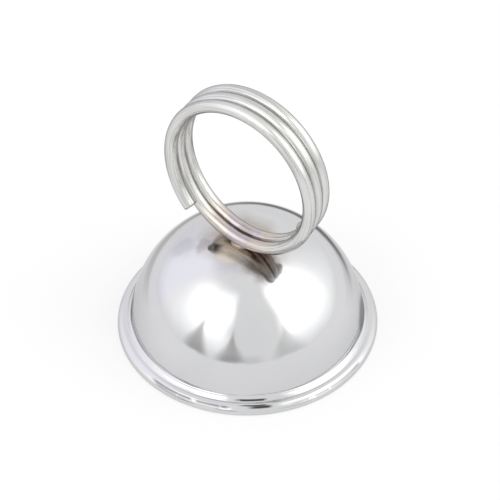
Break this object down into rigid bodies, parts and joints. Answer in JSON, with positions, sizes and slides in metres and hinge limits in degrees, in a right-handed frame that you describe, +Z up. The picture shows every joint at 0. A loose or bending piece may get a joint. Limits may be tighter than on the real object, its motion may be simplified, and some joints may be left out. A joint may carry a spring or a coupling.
{
  "type": "place card holder",
  "caption": "Free-standing holder for a place card: a hollow dome with a curled rim carries an upright ring of wound spring wire, and a card pushed down between its close turns is held.",
  "frame": {"origin": "middle of the foot, on the table", "axes": "+Z up, +X to the right, and -Y towards whoever faces the ring; the ring's own axis runs along Y, leaning back 3 degrees"},
  "size_m": [0.0382, 0.038, 0.0422],
  "materials": {
    "polished_sheet": "mirror-polished stainless steel sheet, clear reflections",
    "polished_wire": "bright drawn stainless steel wire, soft reflections, straw and pink heat tint near the weld",
    "weld_metal": "stainless steel weld metal with a straw heat tint"
  },
  "bodies": {
    "root": {"dome_base": "polished_sheet", "ring_clip": "polished_wire", "ring_weld": "weld_metal"}
  },
  "joints": []
}
